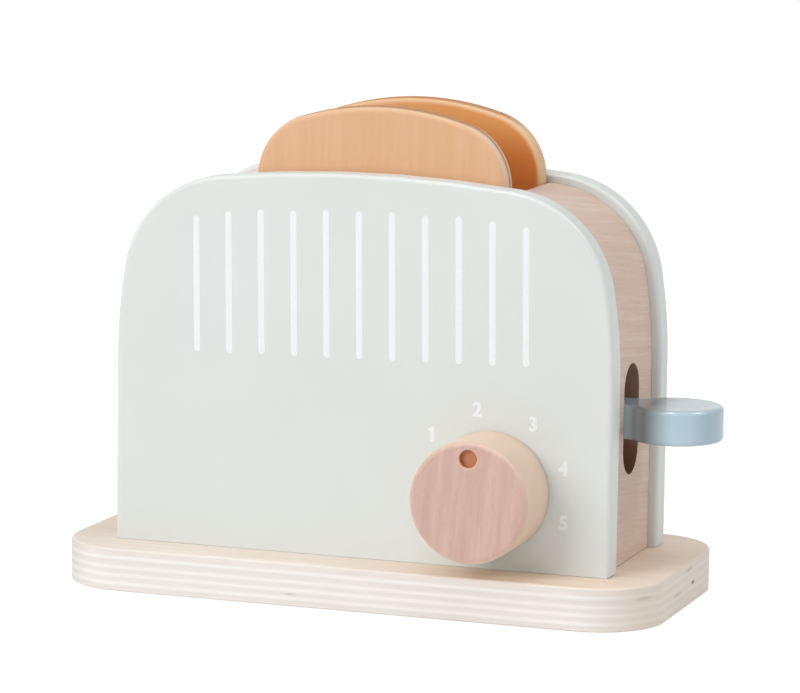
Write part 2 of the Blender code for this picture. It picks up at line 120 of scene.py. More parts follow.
# Marks left in the plies: centre and reach in millimetres, strength and colour
ply_marks = [
    ((132.5, 10.8, 9.2), (6.0, 2.4, 0.9), 0.85, "57463b"),
    ((132.5, 3.8, 15.9), (6.0, 6.0, 0.8), 0.40, "a39384"),
    ((132.5, -13.5, 8.4), (6.0, 8.0, 0.9), 0.32, "a89a8b"),
    ((128.0, -48.8, 13.4), (5.0, 5.0, 1.0), 0.30, "b09c88"),
    ((-22.1, -63.2, 5.4), (3.2, 6.0, 0.5), 0.35, "9c948c"),
]

# Heights and widths between which a slice's inner face grows deeper with painted shade between the slices,
# and lighter
toast_shade_heights = (203.0 * mm, 184.0 * mm)
toast_shade_widths = (15.0 * mm, -30.0 * mm)

# Rim of each slice: places across its thickness in millimetres and the tone of each ply
slice_thickness_mm = 10.0
slice_plies = {
    "front": [
        (-5.0, "e1b081"), (-4.3, "e4b78e"), (-3.9, "e8c6a8"), (-1.4, "e6c3a6"), (-0.8, "9c8470"),
        (0.5, "9c8470"), (1.1, "dfb68c"), (4.2, "e2b488"), (4.6, "e2b080"),
    ],
    "rear": [
        (-5.0, "e0ae80"), (-4.3, "eabc8e"), (-3.9, "e8c195"), (1.0, "dfbb92"), (3.6, "d2b498"),
        (4.6, "c4a488"),
    ],
}

# Hollow of the lever's neck, where painted shade and a painted dark reflection make the paint darker
neck_shade_x = 117.0 * mm
neck_shade_reach = 12.5 * mm

# Lever slot in the right cheek
slot_half_width = 11.0 * mm
slot_half_height = 23.75 * mm
slot_z = 79.3 * mm

# Values between which a noise mostly lies, values at which a wood's flecks begin and are full, places of
# its three tones, share of its streaks beside its bands, and how far its sheen swings
noise_span = {"From Min": 0.3, "From Max": 0.7}
fleck_span = {"From Min": 0.60, "From Max": 0.72}
tone_places = (0.34, 0.50, 0.64)
streak_share = 0.55
sheen_swing = 0.06

# Slopes of the grain in the cheeks and the knob
cheek_grain = math.radians(7.0)
knob_grain = math.radians(-4.0)

# Smoothness and making of the modelled pieces
arc_step = math.radians(2.5)
turned_steps = 96
hole_steps = 48
edge_steps = 4
weld_distance = 0.002 * mm
smooth_angle = math.radians(35.0)
flat_angle = math.radians(0.2)
cut_overrun = 1.0 * mm


def linear(hex_colour):
    """Linear colour with alpha from an sRGB hex value such as e2e6e2."""
    channels = [int(hex_colour[start:start + 2], 16) / 255 for start in (0, 2, 4)]
    return (*[c / 12.92 if c <= 0.04045 else ((c + 0.055) / 1.055) ** 2.4 for c in channels], 1.0)


def add_node(tree, kind, inputs=None, stops=None, out=0, **settings):
    """Add a node with its settings and links, and give the socket that is called for.

    inputs are values, or the sockets that feed them. stops are a ramp's places and colours.
    """
    made = tree.nodes.new("ShaderNode" + kind)
    for name, value in settings.items():
        setattr(made, name, value)
    for name, value in (inputs or {}).items():
        if isinstance(value, bpy.types.NodeSocket):
            tree.links.new(value, made.inputs[name])
        else:
            made.inputs[name].default_value = value
    if stops:
        elements = made.color_ramp.elements
        while len(elements) < len(stops):
            elements.new(1.0)
        for element, (position, colour) in zip(elements, stops):
            element.position = position
            element.color = linear(colour)
    return made.outputs[out]


def new_finish(name):
    """An empty finish: its material, node tree, shader and place on the object."""
    material = bpy.data.materials.new(name)
    material.use_nodes = True
    tree = material.node_tree
    return material, tree, tree.nodes["Principled BSDF"], add_node(tree, "TexCoord", out="Object")


def grain(tree, place, size_mm, detail=3.0, roughness=0.55):
    """Noise drawn out to the given size in millimetres along x, y and z, about a half on average."""
    scale = tuple(1.0 / (size * mm) for size in size_mm)
    drawn = add_node(tree, "Mapping", {"Vector": place, "Scale": scale})
    noise = {"Vector": drawn, "Scale": 1.0, "Detail": detail, "Roughness": roughness}
    return add_node(tree, "TexNoise", noise)


def along(tree, place, axis, low, high):
    """How far a point lies along an axis: 0 up to low, 1 from high on."""
    level = add_node(tree, "SeparateXYZ", {0: place}, out=axis)
    return add_node(tree, "MapRange", {"Value": level, "From Min": low, "From Max": high})


def within(tree, place, centre, radii, outer, inner):
    """A soft round patch: 1 at the inner share of its radii, 0 at the outer; a radius of 0 has no end."""
    scale = tuple(1.0 / radius if radius else 0.0 for radius in radii)
    shift = tuple(-middle * share for middle, share in zip(centre, scale))
    drawn = add_node(tree, "Mapping", {"Vector": place, "Scale": scale, "Location": shift})
    reach = add_node(tree, "VectorMath", {0: drawn}, out="Value", operation="LENGTH")
    return add_node(tree, "MapRange", {"Value": reach, "From Min": outer, "From Max": inner})


def lay_over(tree, under, over, where, strength=1.0, way="MIX"):
    """Lay a colour over another one, where a mask says and as strongly as it says."""
    factor = add_node(tree, "Math", {0: where, 1: strength}, operation="MULTIPLY")
    return add_node(tree, "Mix", {0: factor, 6: under, 7: over}, out=2, data_type="RGBA", blend_type=way)


def timber(tree, place, tilt, wander_mm, band_mm, streak_mm, fleck_mm, tones, fleck_strength):
    """Colour of wood, with the streaks and flecks that its sheen follows.

    The grain is tilted a little and wanders. Bands are broad, streaks fine, and flecks short and dark.
    The tones are deep, middle and pale.
    """
    turned = add_node(tree, "Mapping", {"Vector": place, "Rotation": tilt})
    drift = grain(tree, turned, (50.0, 50.0, 50.0), 1.0)
    reach = (wander_mm * mm, wander_mm * mm, wander_mm * mm)
    wander = add_node(tree, "VectorMath", {0: drift, 1: reach}, operation="MULTIPLY")
    wavy = add_node(tree, "VectorMath", {0: turned, 1: wander}, operation="ADD")
    bands = grain(tree, wavy, band_mm, 2.0)
    streaks = grain(tree, wavy, streak_mm, 4.0, 0.65)
    specks = grain(tree, wavy, fleck_mm, 1.0)
    flecks = add_node(tree, "MapRange", {"Value": specks, **fleck_span})
    tone = add_node(tree, "Mix", {0: streak_share, 2: bands, 3: streaks})
    ramp = add_node(tree, "ValToRGB", {"Fac": tone}, list(zip(tone_places, tones)))
    colour = lay_over(tree, ramp, linear(tones[0]), flecks, fleck_strength, "MULTIPLY")
    return colour, streaks, flecks


def sand(tree, shader, colour, streaks, flecks, roughness, relief_mm):
    """Sanded wood: its colour, a sheen that follows the streaks, and pores sunk a little."""
    tree.links.new(colour, shader.inputs["Base Color"])
    duller = {"Value": streaks, "To Min": roughness - sheen_swing, "To Max": roughness + sheen_swing}
    sheen = add_node(tree, "MapRange", {**duller, **noise_span})
    tree.links.new(sheen, shader.inputs["Roughness"])
    height = add_node(tree, "Math", {0: streaks, 1: flecks}, operation="SUBTRACT")
    pores = add_node(tree, "Bump", {"Height": height, "Strength": 0.5, "Distance": relief_mm * mm})
    tree.links.new(pores, shader.inputs["Normal"])
    shader.inputs["IOR"].default_value = 1.5


def coat(tree, shader, place, cloud_mm, tones, relief, roughness, relief_mm):
    """A coat of paint or ink: two close tones in clouds, a sheen that varies, and a fine relief."""
    cloud = grain(tree, place, (cloud_mm, cloud_mm, cloud_mm), 2.0)
    part = add_node(tree, "MapRange", {"Value": cloud, **noise_span})
    colour = lay_over(tree, linear(tones[0]), linear(tones[1]), part)
    tree.links.new(colour, shader.inputs["Base Color"])
    sheen = {"Value": relief, "To Min": roughness[0], "To Max": roughness[1]}
    sheen = add_node(tree, "MapRange", {**sheen, **noise_span})
    tree.links.new(sheen, shader.inputs["Roughness"])
    skin = add_node(tree, "Bump", {"Height": relief, "Strength": 0.3, "Distance": relief_mm * mm})
    tree.links.new(skin, shader.inputs["Normal"])


def beech_cheeks():
    """Steamed beech, sawn and sanded: pinkish, with fine level lines a millimetre or two apart.

    The walls of the lever's slot carry painted shade: browner and darker than the sanded faces, darkest
    lower down.
    """
    material, tree, shader, place = new_finish("steamed_beech_sanded")
    colour, streaks, flecks = timber(
        tree, place, (cheek_grain, 0.0, 0.0), 1.5, (90.0, 70.0, 5.0),
        (60.0, 45.0, 1.0), (3.0, 3.0, 0.5), ("d4b6a3", "dcc3b2", "e4d0c1"), 0.15,
    )
    facing = add_node(tree, "TexCoord", out="Normal")
    facing = add_node(tree, "VectorMath", {0: facing}, operation="ABSOLUTE")
    aside = along(tree, facing, "X", 0.7, 0.3)
    slot_reach = (0.0, slot_half_width, slot_half_height)
    near = within(tree, place, (0.0, 0.0, slot_z), slot_reach, 1.25, 1.20)
    walls = add_node(tree, "Math", {0: aside, 1: near}, operation="MULTIPLY")
    # Painted shade on the walls of the slot, darker lower down
    higher = along(tree, place, "Z", slot_z - slot_half_height, slot_z + slot_half_height)
    brown = lay_over(tree, linear("8a583b"), linear("ae8775"), higher)
    colour = lay_over(tree, colour, brown, walls, 0.95)
    sand(tree, shader, colour, streaks, flecks, 0.58, 0.05)
    return material


def beech_inner():
    """Beech inside the toaster, left as sawn: browner and duller, its grain level along x."""
    material, tree, shader, place = new_finish("beech_as_sawn")
    colour, streaks, flecks = timber(
        tree, place, (0.0, 0.0, 0.0), 2.0, (120.0, 9.0, 9.0),
        (50.0, 1.4, 1.4), (4.0, 0.6, 0.6), ("8c6350", "a87c66", "bb917a"), 0.20,
    )
    sand(tree, shader, colour, streaks, flecks, 0.62, 0.08)
    return material


def beech_knob():
    """Turned beech, oiled: soft upright streaks on the face, a warmer side and a stained pointer hole."""
    material, tree, shader, place = new_finish("turned_beech_oiled")
    colour, streaks, flecks = timber(
        tree, place, (0.0, knob_grain, 0.0), 2.0, (7.0, 60.0, 70.0),
        (2.2, 40.0, 34.0), (0.7, 2.5, 3.5), ("caa497", "d3aea1", "d9b9ab"), 0.12,
    )
    middle, reach = (knob_x, 0.0, knob_z), (knob_radius, 0.0, knob_radius)
    # Paler band round the rim of the face: a painted highlight
    colour = lay_over(tree, colour, linear("ead0bb"), within(tree, place, middle, reach, 0.93, 0.99), 0.55)
    side = along(tree, place, "Y", *[knob_low.y + depth for depth in knob_side_tone])
    colour = lay_over(tree, colour, linear("e8d0b9"), side, 0.70)
    pointer, reach = (knob_x, 0.0, knob_z + pointer_offset), (pointer_radius, 0.0, pointer_radius)
    colour = lay_over(tree, colour, linear("eec7ab"), within(tree, place, pointer, reach, 1.30, 1.10), 0.5)
    sunk = along(tree, place, "Y", *[knob_low.y + depth for depth in pointer_stain])
    hole = within(tree, place, pointer, reach, 1.08, 1.05)
    stained = add_node(tree, "Math", {0: sunk, 1: hole}, operation="MULTIPLY")
    colour = lay_over(tree, colour, linear("c47f58"), stained)
    sand(tree, shader, colour, streaks, flecks, 0.52, 0.04)
    return material


def birch_plywood():
    """Birch plywood, sanded and sealed: a pale veneer on the faces, light and darker plies on the edge.

    The edge carries the knots and patches of the sheet, and is warmer at its right end; painted shade
    greys its left one. The veneer has painted warm shade to the right, and painted light makes it paler
    again at its end.
    """
    material, tree, shader, place = new_finish("birch_plywood_sealed")
    veneer, streaks, flecks = timber(
        tree, place, (0.0, 0.0, 0.0), 2.5, (120.0, 9.0, 60.0),
        (50.0, 1.6, 50.0), (4.0, 0.6, 4.0), ("e5d4c3", "ecdfd2", "f2e8de"), 0.12,
    )
    # Painted warm shade on the veneer towards the right, and painted light paling it at its far end
    warmer = along(tree, place, "X", *veneer_warm_shade)
    veneer = lay_over(tree, veneer, linear("fef5ea"), warmer, 1.0, "MULTIPLY")
    paler = along(tree, place, "X", *veneer_painted_light)
    veneer = lay_over(tree, veneer, linear("f4e4d5"), paler, 0.6)
    waver = grain(tree, place, (60.0, 60.0, 60.0), 2.0)
    swing = {"From Min": 0.0, "To Min": -ply_waver, "To Max": ply_waver}
    waver = add_node(tree, "MapRange", {"Value": waver, **swing})
    height = add_node(tree, "SeparateXYZ", {0: place}, out="Z")
    height = add_node(tree, "Math", {0: height, 1: waver}, operation="ADD")
    share = add_node(tree, "MapRange", {"Value": height, "From Min": base_low.z, "From Max": base_high.z})
    stops = [(height_mm / ply_board_mm, colour) for height_mm, colour in ply_edges]
    edge = add_node(tree, "ValToRGB", {"Fac": share}, stops)
    ends = grain(tree, place, (16.0, 10.0, 0.8), 4.0, 0.7)
    ends = add_node(tree, "MapRange", {"Value": ends, "From Min": 0.4, "From Max": 0.7})
    edge = lay_over(tree, edge, linear("b9a999"), ends, 0.10)
    facing = add_node(tree, "TexCoord", out="Normal")
    edge = lay_over(tree, edge, linear("e9d9c7"), along(tree, facing, "X", 0.20, 0.80), 0.55)
    # Painted shade: the end of the edge that faces left is greyed
    edge = lay_over(tree, edge, linear("eeedec"), along(tree, facing, "X", -0.40, -0.90), 1.0, "MULTIPLY")
    for centre, radii, strength, colour in ply_marks:
        centre, radii = [tuple(value * mm for value in triple) for triple in (centre, radii)]
        mark = within(tree, place, centre, radii, 1.15, 0.55)
        edge = lay_over(tree, edge, linear(colour), mark, strength)
    facing = add_node(tree, "VectorMath", {0: facing}, operation="ABSOLUTE")
    colour = lay_over(tree, edge, veneer, along(tree, facing, "Z", 0.35, 0.95))
    sand(tree, shader, colour, streaks, flecks, 0.55, 0.04)
    return material


def panel_paint():
    """Water-based satin paint rolled on to birch plywood: grey-green white, with a fine stipple."""
    material, tree, shader, place = new_finish("satin_paint_grey_green")
    stipple = grain(tree, place, (0.9, 0.9, 0.9), 2.0)
    coat(tree, shader, place, 70.0, ("dee2df", "e1e6e3"), stipple, (0.40, 0.50), 0.03)
    shader.inputs["IOR"].default_value = 1.46
    return material


def lever_paint():
    """Enamel sprayed on beech: pale blue and smooth, glossier than the panels, with a slight peel.

    Painted shade and a painted dark reflection darken the neck's hollow, and painted shade makes it a
    little darker at the end and on the level faces.
    """
    material, tree, shader, place = new_finish("gloss_enamel_pale_blue")
    peel = grain(tree, place, (3.5, 3.5, 3.5), 0.0)
    coat(tree, shader, place, 30.0, ("bbd3e0", "c3d8e4"), peel, (0.13, 0.18), 0.02)
    paint = shader.inputs["Base Color"].links[0].from_socket
    # Painted shade and a painted dark reflection in the hollow of the neck
    hollow = within(tree, place, (neck_shade_x, 0.0, 0.0), (neck_shade_reach, 0.0, 0.0), 1.0, 0.0)
    paint = lay_over(tree, paint, linear("7a7d7a"), hollow, 0.85)
    facing = add_node(tree, "TexCoord", out="Normal")
    # Painted shade on the end and on the level faces
    paint = lay_over(tree, paint, linear("e5e7e8"), along(tree, facing, "X", 0.50, 0.85), 0.75, "MULTIPLY")
    paint = lay_over(tree, paint, linear("e6e4e2"), along(tree, facing, "Z", 0.60, 0.95), 0.80, "MULTIPLY")
    tree.links.new(paint, shader.inputs["Base Color"])
    return material


def white_ink():
    """White ink, screen printed: nearly opaque and satin, a little uneven in thickness."""
    material, tree, shader, place = new_finish("screen_print_ink_white")
    mottle = grain(tree, place, (1.5, 1.5, 1.5), 2.0)
    coat(tree, shader, place, 1.5, ("eff3f5", "f3f6f8"), mottle, (0.40, 0.50), 0.01)
    return material


def toast_stain(name, middle_y, outward, rim_plies):
    """Birch ply stained toast brown and sanded: faint upright streaks, and the plies bare on the rim.

    The face that looks outward is paler. The one towards the other slice is deeper in stain and in painted
    shade between the slices, more so lower down and to the right. The top of the rim is stained brown over
    the plies.
    """
    material, tree, shader, place = new_finish(name)
    colour, streaks, flecks = timber(
        tree, place, (0.0, 0.0, 0.0), 2.5, (22.0, 60.0, 160.0),
        (3.2, 40.0, 90.0), (0.8, 3.0, 9.0), ("deae82", "e1b189", "e4b58d"), 0.06,
    )
    facing = add_node(tree, "TexCoord", out="Normal")
    # Painted shade between the slices on the inward face, deeper lower down and to the right, laid with
    # its deeper stain
    lower = along(tree, place, "Z", *toast_shade_heights)
    deep = lay_over(tree, linear("eea95c"), linear("dd7c10"), lower)
    deep = lay_over(tree, deep, linear("e8bd92"), along(tree, place, "X", *toast_shade_widths), 0.7)
    inward = along(tree, facing, "Y", -0.5 * outward, -0.9 * outward)
    colour = lay_over(tree, colour, deep, inward, 0.9)
    half = slice_thickness_mm / 2 * mm
    across = along(tree, place, "Y", middle_y - half, middle_y + half)
    stops = [(0.5 + offset / slice_thickness_mm, tone) for offset, tone in rim_plies]
    plies = add_node(tree, "ValToRGB", {"Fac": across}, stops)
    top = along(tree, facing, "Z", 0.75, 0.95)
    plies = lay_over(tree, plies, linear("b27434"), top, 0.90)
    facing = add_node(tree, "VectorMath", {0: facing}, operation="ABSOLUTE")
    colour = lay_over(tree, plies, colour, along(tree, facing, "Y", 0.88, 0.99))
    sand(tree, shader, colour, streaks, flecks, 0.62, 0.03)
    return material


def zinc_steel():
    """Steel, cold formed and zinc plated: blue-grey metal with fine drawn lines."""
    material, tree, shader, place = new_finish("zinc_plated_steel")
    lines = grain(tree, place, (0.6, 8.0, 0.6), 3.0)
    colour = lay_over(tree, linear("b9bcbd"), linear("cfd1d0"), lines)
    tree.links.new(colour, shader.inputs["Base Color"])
    brushed = {"Value": lines, "To Min": 0.28, "To Max": 0.42}
    brushed = add_node(tree, "MapRange", {**brushed, **noise_span})
    tree.links.new(brushed, shader.inputs["Roughness"])
    shader.inputs["Metallic"].default_value = 1.0
    return material


def draw_line(bm, vert, end):
    """Draw an outline on to a point, and give the vertex there."""
    grown = bmesh.ops.extrude_vert_indiv(bm, verts=[vert])["verts"][0]
    grown.co = end
    return grown


def draw_arc(bm, vert, centre, angle, axis=(0, -1, 0)):
    """Draw an outline on round a centre, and give the vertex where the arc ends."""
    steps = max(1, round(abs(angle) / arc_step))
    swept = bmesh.ops.spin(
        bm, geom=[vert], cent=centre, axis=axis, angle=angle, steps=steps,
        use_merge=False, use_duplicate=False,
    )
    return next(item for item in swept["geom_last"] if isinstance(item, bmesh.types.BMVert))


def draw_arch(bm, middle, y, half_width, bottom, top, radii, side_angle, foot=0.0):
    """Draw an arched board's outline, anticlockwise from its right foot. radii are corner, crown, side."""
    corner, crown, side = radii
    corner_x = half_width - side + (side - corner) * math.cos(side_angle)
    crown_z = top - crown
    corner_z = crown_z + math.sqrt((crown - corner) ** 2 - corner_x ** 2)
    side_z = corner_z - (side - corner) * math.sin(side_angle)
    meeting = math.atan2(corner_z - crown_z, corner_x)
    quarter = math.pi / 2
    start = bm.verts.new((middle + half_width - foot, y, bottom))
    vert = start
    if foot:
        vert = draw_arc(bm, vert, (middle + half_width - foot, y, bottom + foot), quarter)
    vert = draw_line(bm, vert, (middle + half_width, y, side_z))
    if side_angle:
        vert = draw_arc(bm, vert, (middle + half_width - side, y, side_z), side_angle)
    vert = draw_arc(bm, vert, (middle + corner_x, y, corner_z), meeting - side_angle)
    vert = draw_arc(bm, vert, (middle, y, crown_z), math.pi - 2 * meeting)
    vert = draw_arc(bm, vert, (middle - corner_x, y, corner_z), meeting - side_angle)
    if side_angle:
        vert = draw_arc(bm, vert, (middle - half_width + side, y, side_z), side_angle)
    vert = draw_line(bm, vert, (middle - half_width, y, bottom + foot))
    if foot:
        vert = draw_arc(bm, vert, (middle - half_width + foot, y, bottom + foot), quarter)
    bm.edges.new((vert, start))


def make_board(bm, step, edge_radius=0.0, ground=-1.0):
    """Fill the drawn outline, draw it out by a step and round both rims over, but not at ground level."""
    face = bmesh.ops.contextual_create(bm, geom=bm.edges[:])["faces"][0]
    grown = bmesh.ops.extrude_face_region(bm, geom=[face])["geom"]
    moved = [item for item in grown if isinstance(item, bmesh.types.BMVert)]
    bmesh.ops.translate(bm, verts=moved, vec=step)
    if edge_radius:
        direction = Vector(step).normalized()
        rims = [
            edge for edge in bm.edges
            if abs((edge.verts[1].co - edge.verts[0].co).dot(direction)) < weld_distance
            and max(vert.co.z for vert in edge.verts) > ground + weld_distance
        ]
        bmesh.ops.bevel(
            bm, geom=rims, offset=edge_radius, offset_type="OFFSET", segments=edge_steps,
            profile=0.5, affect="EDGES", material=-1,
        )


def finish_piece(bm, name, body, material, slot, *nodes):
    """Make a drawn shape into a piece that rides on a body and stands for its CAD nodes."""
    bmesh.ops.remove_doubles(bm, verts=bm.verts[:], dist=weld_distance)
    bmesh.ops.recalc_face_normals(bm, faces=bm.faces[:])
    mesh = bpy.data.meshes.new(name)
    bm.to_mesh(mesh)
    bm.free()
    return dress(mesh, name, body, material, slot, *nodes)


def dress(mesh, name, body, material, slot, *nodes):
    """Give a mesh soft shading and its material, and seat it in the frame."""
    mesh.shade_smooth()
    mesh.set_sharp_from_angle(angle=smooth_angle)
    mesh.materials.clear()
    mesh.materials.append(material)
    piece = bpy.data.objects.new(name, mesh)
    bpy.context.scene.collection.objects.link(piece)
    even = piece.modifiers.new("even_shading", "WEIGHTED_NORMAL")
    even.keep_sharp = True
    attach(piece, body)
    if nodes:
        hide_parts(*nodes)
    return piece


def drill(piece, cutter_bm):
    """Take a cutter's shape out of a piece for good, and clear the cutter away."""
    bmesh.ops.remove_doubles(cutter_bm, verts=cutter_bm.verts[:], dist=weld_distance)
    bmesh.ops.recalc_face_normals(cutter_bm, faces=cutter_bm.faces[:])
    tool_mesh = bpy.data.meshes.new("cutter")
    cutter_bm.to_mesh(tool_mesh)
    cutter_bm.free()
    tool = bpy.data.objects.new("cutter", tool_mesh)
    bpy.context.scene.collection.objects.link(tool)
    cut = piece.modifiers.new("drill", "BOOLEAN")
    cut.operation = "DIFFERENCE"
    cut.solver = "EXACT"
    cut.object = tool
    even = piece.modifiers["even_shading"]
    even.show_viewport = False
    view = bpy.context.evaluated_depsgraph_get()
    drilled = bpy.data.meshes.new_from_object(piece.evaluated_get(view))
    piece.modifiers.remove(cut)
    even.show_viewport = True
    bpy.data.objects.remove(tool)
    drilled.shade_smooth()
    drilled.set_sharp_from_angle(angle=smooth_angle)
    piece.data = drilled


def rod(bm, radius, start, end):
    """Add a round rod along y, closed at both ends."""
    turn = Matrix.Rotation(math.radians(90.0), 4, "X")
    middle = (Vector(start) + Vector(end)) / 2
    bmesh.ops.create_cone(
        bm, cap_ends=True, segments=hole_steps, radius1=radius, radius2=radius,
        depth=abs(end[1] - start[1]), matrix=Matrix.Translation(middle) @ turn,
    )


def copy_of(node):
    """A bmesh with the shape of a CAD node, its loose triangles joined."""
    bm = bmesh.new()
    bm.from_mesh(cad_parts[node].data)
    bmesh.ops.remove_doubles(bm, verts=bm.verts[:], dist=weld_distance)
    bmesh.ops.dissolve_limit(bm, angle_limit=flat_angle, verts=bm.verts[:], edges=bm.edges[:])
    return bm


def build_panels(paint):
    """Front and back panels, arched, with soft rims and the spindle's hole."""
    radii = (panel_corner_radius, panel_crown_radius, panel_side_radius)
    for name, low, high in (
        ("front_panel", panel_low, panel_high), ("back_panel", back_low, back_high)
    ):
        bm = bmesh.new()
        ground = base_high.z + panel_gap
        draw_arch(bm, 0.0, low.y, high.x, ground, high.z, radii, panel_side_angle, panel_foot_radius)
        make_board(bm, (0, high.y - low.y, 0), panel_edge_radius, ground)
        panel = finish_piece(bm, name + "_painted", "housing", paint, "pale_grey_paint", name)
        if name == "front_panel":
            hole = bmesh.new()
            start = (knob_x, low.y - cut_overrun, knob_z)
            rod(hole, spindle_hole_radius, start, (knob_x, high.y + cut_overrun, knob_z))
            drill(panel, hole)


def build_slices():
    """Two slices of toast, domed, with round feet and soft rims."""
    radii = (slice_corner_radius, slice_crown_radius, slice_corner_radius)
    for side in ("front", "rear"):
        low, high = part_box("bread_slice_" + side)
        bm = bmesh.new()
        middle = (low.x + high.x) / 2
        half = (high.x - low.x) / 2
        top = high.z - weld_distance
        draw_arch(bm, middle, low.y, half, low.z, top, radii, 0.0, slice_foot_radius)
        make_board(bm, (0, high.y - low.y, 0), slice_edge_radius)
        outward = -1.0 if side == "front" else 1.0
        stain = toast_stain(
            "toast_stain_on_birch_ply_" + side, (low.y + high.y) / 2, outward, slice_plies[side]
        )
        finish_piece(
            bm, "toast_slice_" + side, side + "_slice", stain, "toast_stain", "bread_slice_" + side
        )


def build_knob(wood):
    """The dial knob, turned on the lathe, with its sunk pointer."""
    bm = bmesh.new()
    front, back = knob_low.y, knob_high.y
    quarter = math.pi / 2
    vert = bm.verts.new((knob_x, front, knob_z))
    rim = knob_radius - knob_front_radius
    vert = draw_line(bm, vert, (knob_x + rim, front, knob_z))
    vert = draw_arc(bm, vert, (knob_x + rim, front + knob_front_radius, knob_z), quarter, (0, 0, 1))
    rim = knob_radius - knob_back_radius
    vert = draw_line(bm, vert, (knob_x + knob_radius, back - knob_back_radius, knob_z))
    vert = draw_arc(bm, vert, (knob_x + rim, back - knob_back_radius, knob_z), quarter, (0, 0, 1))
    draw_line(bm, vert, (knob_x, back, knob_z))
    bmesh.ops.spin(
        bm, geom=bm.verts[:] + bm.edges[:], cent=(knob_x, 0, knob_z), axis=(0, 1, 0),
        angle=math.tau, steps=turned_steps, use_merge=True,
    )
    knob = finish_piece(bm, "dial_knob_turned", "dial", wood, "knob_beech", "dial_knob")
    hole = bmesh.new()
    hole_z = knob_z + pointer_offset
    vert = hole.verts.new((knob_x, front - cut_overrun, hole_z))
    wide = pointer_radius + pointer_chamfer + cut_overrun
    vert = draw_line(hole, vert, (knob_x + wide, front - cut_overrun, hole_z))
    vert = draw_line(hole, vert, (knob_x + pointer_radius, front + pointer_chamfer, hole_z))
    vert = draw_line(hole, vert, (knob_x + pointer_radius, front + pointer_depth, hole_z))
    draw_line(hole, vert, (knob_x, front + pointer_depth, hole_z))
    bmesh.ops.spin(
        hole, geom=hole.verts[:] + hole.edges[:], cent=(knob_x, 0, hole_z), axis=(0, 1, 0),
        angle=math.tau, steps=turned_steps // 2, use_merge=True,
    )
    drill(knob, hole)


def join_to(bm, part):
    """Join a small drawn shape to a larger one, and clear it away."""
    mesh = bpy.data.meshes.new("part")
    part.to_mesh(mesh)
    part.free()
    bm.from_mesh(mesh)
    bpy.data.meshes.remove(mesh)


def build_stripes(ink):
    """Eleven round-ended upright stripes, printed a little askew as one block."""
    front = panel_low.y + print_bite
    bm = bmesh.new()
    radius = stripe_width / 2
    for index, top in enumerate(stripe_tops):
        foot_x = first_stripe[0] + index * stripe_spacing * math.cos(print_turn)
        foot_z = first_stripe[1] + index * stripe_spacing * math.sin(print_turn)
        length = (top * mm - foot_z) / math.cos(print_turn)
        stripe = bmesh.new()
        start = stripe.verts.new((radius, 0, radius))
        vert = draw_line(stripe, start, (radius, 0, length - radius))
        vert = draw_arc(stripe, vert, (0, 0, length - radius), math.pi)
        vert = draw_line(stripe, vert, (-radius, 0, radius))
        draw_arc(stripe, vert, (0, 0, radius), math.pi)
        bmesh.ops.remove_doubles(stripe, verts=stripe.verts[:], dist=weld_distance)
        make_board(stripe, (0, -print_thickness - print_bite, 0))
        place = Matrix.Translation((foot_x, front, foot_z)) @ Matrix.Rotation(-print_turn, 4, "Y")
        bmesh.ops.transform(stripe, verts=stripe.verts[:], matrix=place)
        join_to(bm, stripe)
    finish_piece(bm, "stripe_print", "housing", ink, "pale_grey_paint")


def draw_figure(figure):
    """A flat figure with its middle at the origin: the 1 drawn as an outline, the others typed."""
    drawn = bmesh.new()
    if figure == "1":
        start = drawn.verts.new((figure_one[0][0] * mm, figure_one[0][1] * mm, 0))
        vert = start
        for x, y in figure_one[1:]:
            vert = draw_line(drawn, vert, (x * mm, y * mm, 0))
        drawn.edges.new((vert, start))
        bmesh.ops.contextual_create(drawn, geom=drawn.edges[:])
        return drawn
    curve = bpy.data.curves.new("figure", "FONT")
    curve.body = figure
    curve.size = number_height
    curve.offset = number_weight
    writer = bpy.data.objects.new("figure", curve)
    bpy.context.scene.collection.objects.link(writer)
    view = bpy.context.evaluated_depsgraph_get()
    mesh = bpy.data.meshes.new_from_object(writer.evaluated_get(view))
    bpy.data.objects.remove(writer)
    drawn.from_mesh(mesh)
    bpy.data.meshes.remove(mesh)
    bmesh.ops.remove_doubles(drawn, verts=drawn.verts[:], dist=weld_distance)
    low = Vector([min(vert.co[axis] for vert in drawn.verts) for axis in range(3)])
    high = Vector([max(vert.co[axis] for vert in drawn.verts) for axis in range(3)])
    scale = number_height / (high.y - low.y)
    fitted = (
        Matrix.Diagonal((scale, scale, 1.0, 1.0))
        @ Matrix.Translation((-(low.x + high.x) / 2, -(low.y + high.y) / 2, 0.0))
    )
    bmesh.ops.transform(drawn, verts=drawn.verts[:], matrix=fitted)
    return drawn


def build_numbers(ink):
    """The dial's numbers, 1 to 5, printed round the knob."""
    front = panel_low.y + print_bite
    bm = bmesh.new()
    for figure, (x, z) in number_places.items():
        drawn = draw_figure(figure)
        grown = bmesh.ops.extrude_face_region(drawn, geom=drawn.faces[:])["geom"]
        moved = [item for item in grown if isinstance(item, bmesh.types.BMVert)]
        bmesh.ops.translate(drawn, verts=moved, vec=(0, 0, print_thickness + print_bite))
        upright = Matrix.Rotation(math.radians(90.0), 4, "X")
        place = Matrix.Translation((x * mm, front, z * mm)) @ upright
        bmesh.ops.transform(drawn, verts=drawn.verts[:], matrix=place)
        join_to(bm, drawn)
    finish_piece(bm, "number_print", "housing", ink, "pale_grey_paint")


